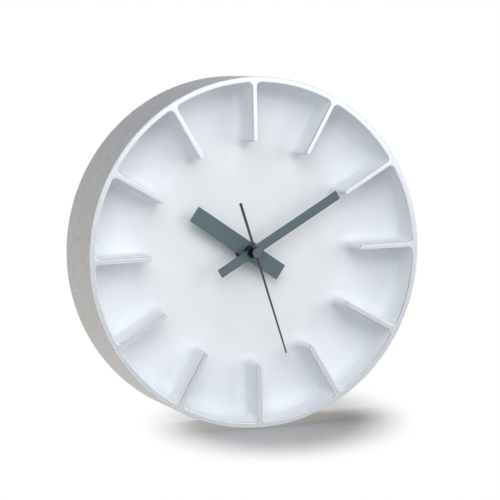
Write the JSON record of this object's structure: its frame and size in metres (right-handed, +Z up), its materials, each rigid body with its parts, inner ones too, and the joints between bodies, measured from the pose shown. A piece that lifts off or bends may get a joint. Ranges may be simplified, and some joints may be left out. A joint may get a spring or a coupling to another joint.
{
  "type": "wall clock",
  "caption": "Round cast aluminium clock with raised radial hour ridges inside a deep rim, plain slate hands and a battery quartz movement behind the dial.",
  "frame": {"origin": "under the middle of the clock, level with the lowest point of its rim and half-way through its depth", "axes": "+Z up with the twelve o'clock ridge at the top, the dial faces -Y, +X to the right seen from the front"},
  "size_m": [0.177, 0.04, 0.177],
  "materials": {
    "white_coated_casting": "matt white powder coat over cast aluminium",
    "bare_casting": "blasted bare cast aluminium",
    "slate_painted_metal": "satin slate paint",
    "charcoal_painted_metal": "satin charcoal paint",
    "black_steel": "blackened",
    "steel": "zinc plated",
    "brass": "turned",
    "black_plastic": "moulded, fine spark texture",
    "grey_plastic": "moulded",
    "white_nylon": "moulded",
    "rubber": "matt",
    "copper": "enamelled wire",
    "magnet": "sintered",
    "board_green": "solder resist",
    "battery_jacket": "plain printed film with no words"
  },
  "bodies": {
    "case": {"case": "white_coated_casting", "hanger_plate": "steel", "hanger_screw_1": "steel", "hanger_screw_2": "steel", "dial_washer": "black_steel", "fixing_nut": "black_steel", "dial_gasket": "rubber", "threaded_bush": "brass", "movement_housing": "black_plastic", "movement_cover": "grey_plastic", "cover_screw_1": "steel", "cover_screw_2": "steel", "cover_screw_3": "steel", "cover_screw_4": "steel", "train_bridge": "brass", "bridge_screw_1": "steel", "bridge_screw_2": "steel", "stator": "steel", "coil_core": "steel", "coil_bobbin": "black_plastic", "coil_winding": "copper", "coil_screw_1": "steel", "coil_screw_2": "steel", "circuit_board": "board_green", "driver_chip": "black_plastic", "quartz_crystal": "steel", "positive_contact": "steel", "negative_contact": "steel"},
    "second_hand": {"second_hand": "charcoal_painted_metal", "second_hand_cap": "slate_painted_metal", "second_wheel": "white_nylon"},
    "minute_hand": {"minute_hand": "slate_painted_metal", "minute_hand_nut": "black_steel", "cannon_pinion": "brass"},
    "hour_hand": {"hour_hand": "slate_painted_metal", "hour_wheel": "white_nylon"},
    "setting_arbor": {"minute_wheel": "white_nylon", "set_knob": "white_nylon"},
    "centre_wheel": {"centre_wheel": "white_nylon"},
    "third_wheel": {"third_wheel": "white_nylon"},
    "intermediate_wheel": {"intermediate_wheel": "white_nylon"},
    "rotor": {"rotor_pinion": "white_nylon", "rotor_magnet": "magnet"},
    "battery": {"battery": "battery_jacket"}
  },
  "joints": [
    {"name": "second_turn", "type": "hinge", "parent": "case", "child": "second_hand", "pos_m": [0, -0.02, 0.0885], "axis": [0, 1, 0], "continuous": true},
    {"name": "minute_turn", "type": "hinge", "parent": "case", "child": "minute_hand", "pos_m": [0, -0.02, 0.0885], "axis": [0, 1, 0], "continuous": true},
    {"name": "hour_turn", "type": "hinge", "parent": "case", "child": "hour_hand", "pos_m": [0, -0.02, 0.0885], "axis": [0, 1, 0], "continuous": true},
    {"name": "setting_turn", "type": "hinge", "parent": "case", "child": "setting_arbor", "pos_m": [0.00941, 0.01, 0.09393], "axis": [0, 1, 0], "continuous": true},
    {"name": "centre_wheel_turn", "type": "hinge", "parent": "case", "child": "centre_wheel", "pos_m": [0, -0.02, 0.0885], "axis": [0, 1, 0], "continuous": true},
    {"name": "third_wheel_turn", "type": "hinge", "parent": "case", "child": "third_wheel", "pos_m": [-0.00883, 0.005, 0.0936], "axis": [0, 1, 0], "continuous": true},
    {"name": "intermediate_wheel_turn", "type": "hinge", "parent": "case", "child": "intermediate_wheel", "pos_m": [0, 0.01, 0.0957], "axis": [0, 1, 0], "continuous": true},
    {"name": "rotor_turn", "type": "hinge", "parent": "case", "child": "rotor", "pos_m": [0, 0.01, 0.1017], "axis": [0, 1, 0], "continuous": true},
    {"name": "battery_slide", "type": "slide", "parent": "case", "child": "battery", "axis": [0, 1, 0], "range_m": [0, 0.016]}
  ],
  "couplings": [
    {"joint": "hour_turn", "follows": "minute_turn", "ratio": 0.083333},
    {"joint": "setting_turn", "follows": "minute_turn", "ratio": -0.33333},
    {"joint": "third_wheel_turn", "follows": "second_turn", "ratio": -0.13333},
    {"joint": "centre_wheel_turn", "follows": "second_turn", "ratio": 0.016667},
    {"joint": "intermediate_wheel_turn", "follows": "second_turn", "ratio": -5},
    {"joint": "rotor_turn", "follows": "second_turn", "ratio": 30}
  ]
}
